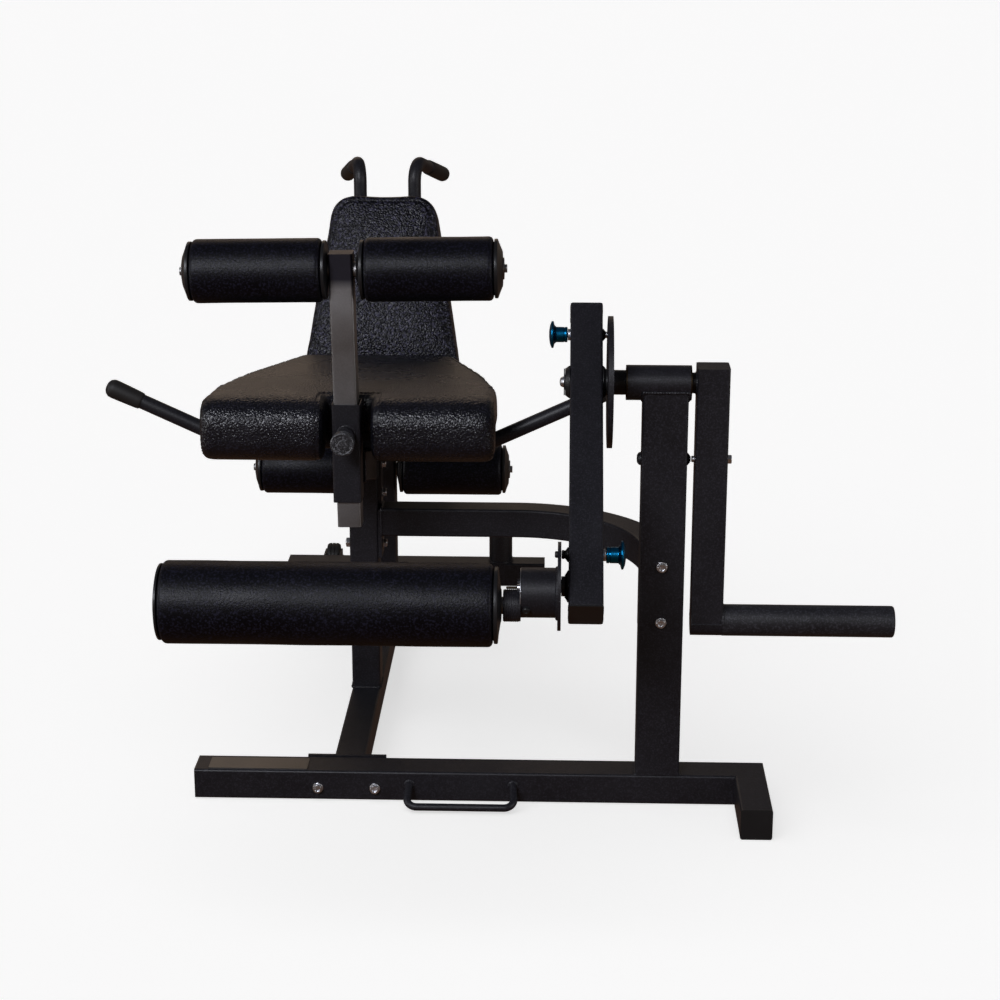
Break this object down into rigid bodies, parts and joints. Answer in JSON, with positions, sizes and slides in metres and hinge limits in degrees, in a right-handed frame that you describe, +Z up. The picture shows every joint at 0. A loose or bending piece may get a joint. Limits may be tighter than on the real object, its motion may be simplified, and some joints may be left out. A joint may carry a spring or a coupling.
{
  "type": "plate-loaded leg extension and leg curl machine",
  "caption": "Plate-loaded seated leg extension and leg curl machine with adjustable roller arm, sliding thigh hold-down, tapered seat and upright backrest.",
  "frame": {"origin": "on the floor, under the middle of the seat and the middle of the front bar", "axes": "+Z up, +Y from the front bar towards the backrest, +X from the seat towards the plate horn"},
  "size_m": [1.2943, 1.5261, 0.9039],
  "materials": {
    "frame_black": "satin fine-texture powder coat",
    "grey_steel": "satin",
    "zinc_steel": "zinc plated",
    "brushed_plate": "brushed, blank",
    "bronze_bush": "oiled",
    "black_plastic": "moulded",
    "blue_anodised": "blue anodised",
    "roller_foam": "closed-cell foam, fine grain",
    "vinyl": "pebble-grain vinyl over foam",
    "grip_rubber": "matt",
    "plywood": "black backed board"
  },
  "bodies": {
    "frame": {"front_crossbar": "frame_black", "front_foot": "frame_black", "tube_end_caps": "black_plastic", "spine_beam": "frame_black", "flange_plates": "frame_black", "frame_bolts": "zinc_steel", "side_bolts": "zinc_steel", "name_plate": "brushed_plate", "front_carry_handle": "frame_black", "rear_stabilizer": "frame_black", "wheel_brackets": "frame_black", "seat_post": "frame_black", "rear_post": "frame_black", "curved_brace": "frame_black", "storage_peg": "frame_black", "upright_post": "frame_black", "pivot_housing": "frame_black", "pivot_bushes": "bronze_bush", "seat_frame": "frame_black", "seat_board": "plywood", "seat_pad": "vinyl", "side_grip_bar": "frame_black", "rubber_grips": "grip_rubber", "backrest_frame": "frame_black", "backrest_board": "plywood", "backrest_pad": "vinyl", "top_handles": "frame_black", "hold_down_bracket": "frame_black", "hold_down_sleeve": "frame_black", "hold_down_pin_housing": "frame_black", "rear_roller_axle": "grey_steel"},
    "shaft": {"main_shaft": "grey_steel", "selector_disc": "frame_black", "weight_arm": "frame_black", "plate_horn": "frame_black", "shaft_fasteners": "zinc_steel"},
    "arm": {"roller_arm": "frame_black", "arm_bushes": "black_plastic", "arm_end_caps": "black_plastic", "pin_bodies": "zinc_steel"},
    "upper_pin": {"upper_pull_pin": "zinc_steel", "upper_pin_knob": "blue_anodised"},
    "lower_pin": {"lower_pull_pin": "zinc_steel", "lower_pin_knob": "blue_anodised"},
    "carriage": {"carriage_disc": "frame_black", "carriage_hub": "frame_black", "roller_axle": "grey_steel"},
    "shin_roller_body": {"shin_roller": "roller_foam", "shin_roller_caps": "black_plastic"},
    "hold_down": {"hold_down_post": "grey_steel", "hold_down_axle": "grey_steel"},
    "hold_down_pin": {"hold_down_pull_pin": "zinc_steel", "hold_down_pin_knob": "zinc_steel"},
    "left_thigh_body": {"left_thigh_roller": "roller_foam", "left_thigh_roller_caps": "black_plastic"},
    "right_thigh_body": {"right_thigh_roller": "roller_foam", "right_thigh_roller_caps": "black_plastic"},
    "rear_roller_body": {"rear_rollers": "roller_foam", "rear_roller_caps": "black_plastic"},
    "wheels": {"transport_wheels": "grip_rubber"}
  },
  "joints": [
    {"name": "shaft_pivot", "type": "hinge", "parent": "frame", "child": "shaft", "pos_m": [0.5, -0.005, 0.691], "axis": [-1, 0, 0], "range_deg": [0, 95]},
    {"name": "arm_adjust", "type": "hinge", "parent": "shaft", "child": "arm", "pos_m": [0.3789, -0.005, 0.691], "axis": [-1, 0, 0], "range_deg": [-85, 35]},
    {"name": "upper_pin_pull", "type": "slide", "parent": "arm", "child": "upper_pin", "axis": [-1, 0, 0], "range_m": [0, 0.01], "stiffness_N_per_m": 600, "springref_m": -0.004},
    {"name": "lower_pin_pull", "type": "slide", "parent": "arm", "child": "lower_pin", "axis": [1, 0, 0], "range_m": [0, 0.01], "stiffness_N_per_m": 600, "springref_m": -0.004},
    {"name": "carriage_adjust", "type": "hinge", "parent": "arm", "child": "carriage", "pos_m": [0.3408, -0.28819, 0.45756], "axis": [-1, 0, 0], "range_deg": [-60, 60]},
    {"name": "shin_roller_spin", "type": "hinge", "parent": "carriage", "child": "shin_roller_body", "pos_m": [0.01, -0.31365, 0.43657], "axis": [-1, 0, 0], "continuous": true},
    {"name": "hold_down_slide", "type": "slide", "parent": "frame", "child": "hold_down", "axis": [-0.0157, 0, 0.9999], "range_m": [-0.03, 0.08]},
    {"name": "hold_down_pin_pull", "type": "slide", "parent": "frame", "child": "hold_down_pin", "axis": [0, -1, 0], "range_m": [0, 0.01], "stiffness_N_per_m": 600, "springref_m": -0.004},
    {"name": "left_thigh_spin", "type": "hinge", "parent": "hold_down", "child": "left_thigh_body", "pos_m": [-0.0041, 0.0975, 0.84296], "axis": [0.9999, 0, 0.0157], "continuous": true},
    {"name": "right_thigh_spin", "type": "hinge", "parent": "hold_down", "child": "right_thigh_body", "pos_m": [-0.0041, 0.0975, 0.84296], "axis": [0.9999, 0, 0.0157], "continuous": true},
    {"name": "rear_roller_spin", "type": "hinge", "parent": "frame", "child": "rear_roller_body", "pos_m": [0, 0.74, 0.34], "axis": [-1, 0, 0], "continuous": true},
    {"name": "wheel_spin", "type": "hinge", "parent": "frame", "child": "wheels", "pos_m": [0.0395, 1.122, 0.034], "axis": [-1, 0, 0], "continuous": true}
  ]
}
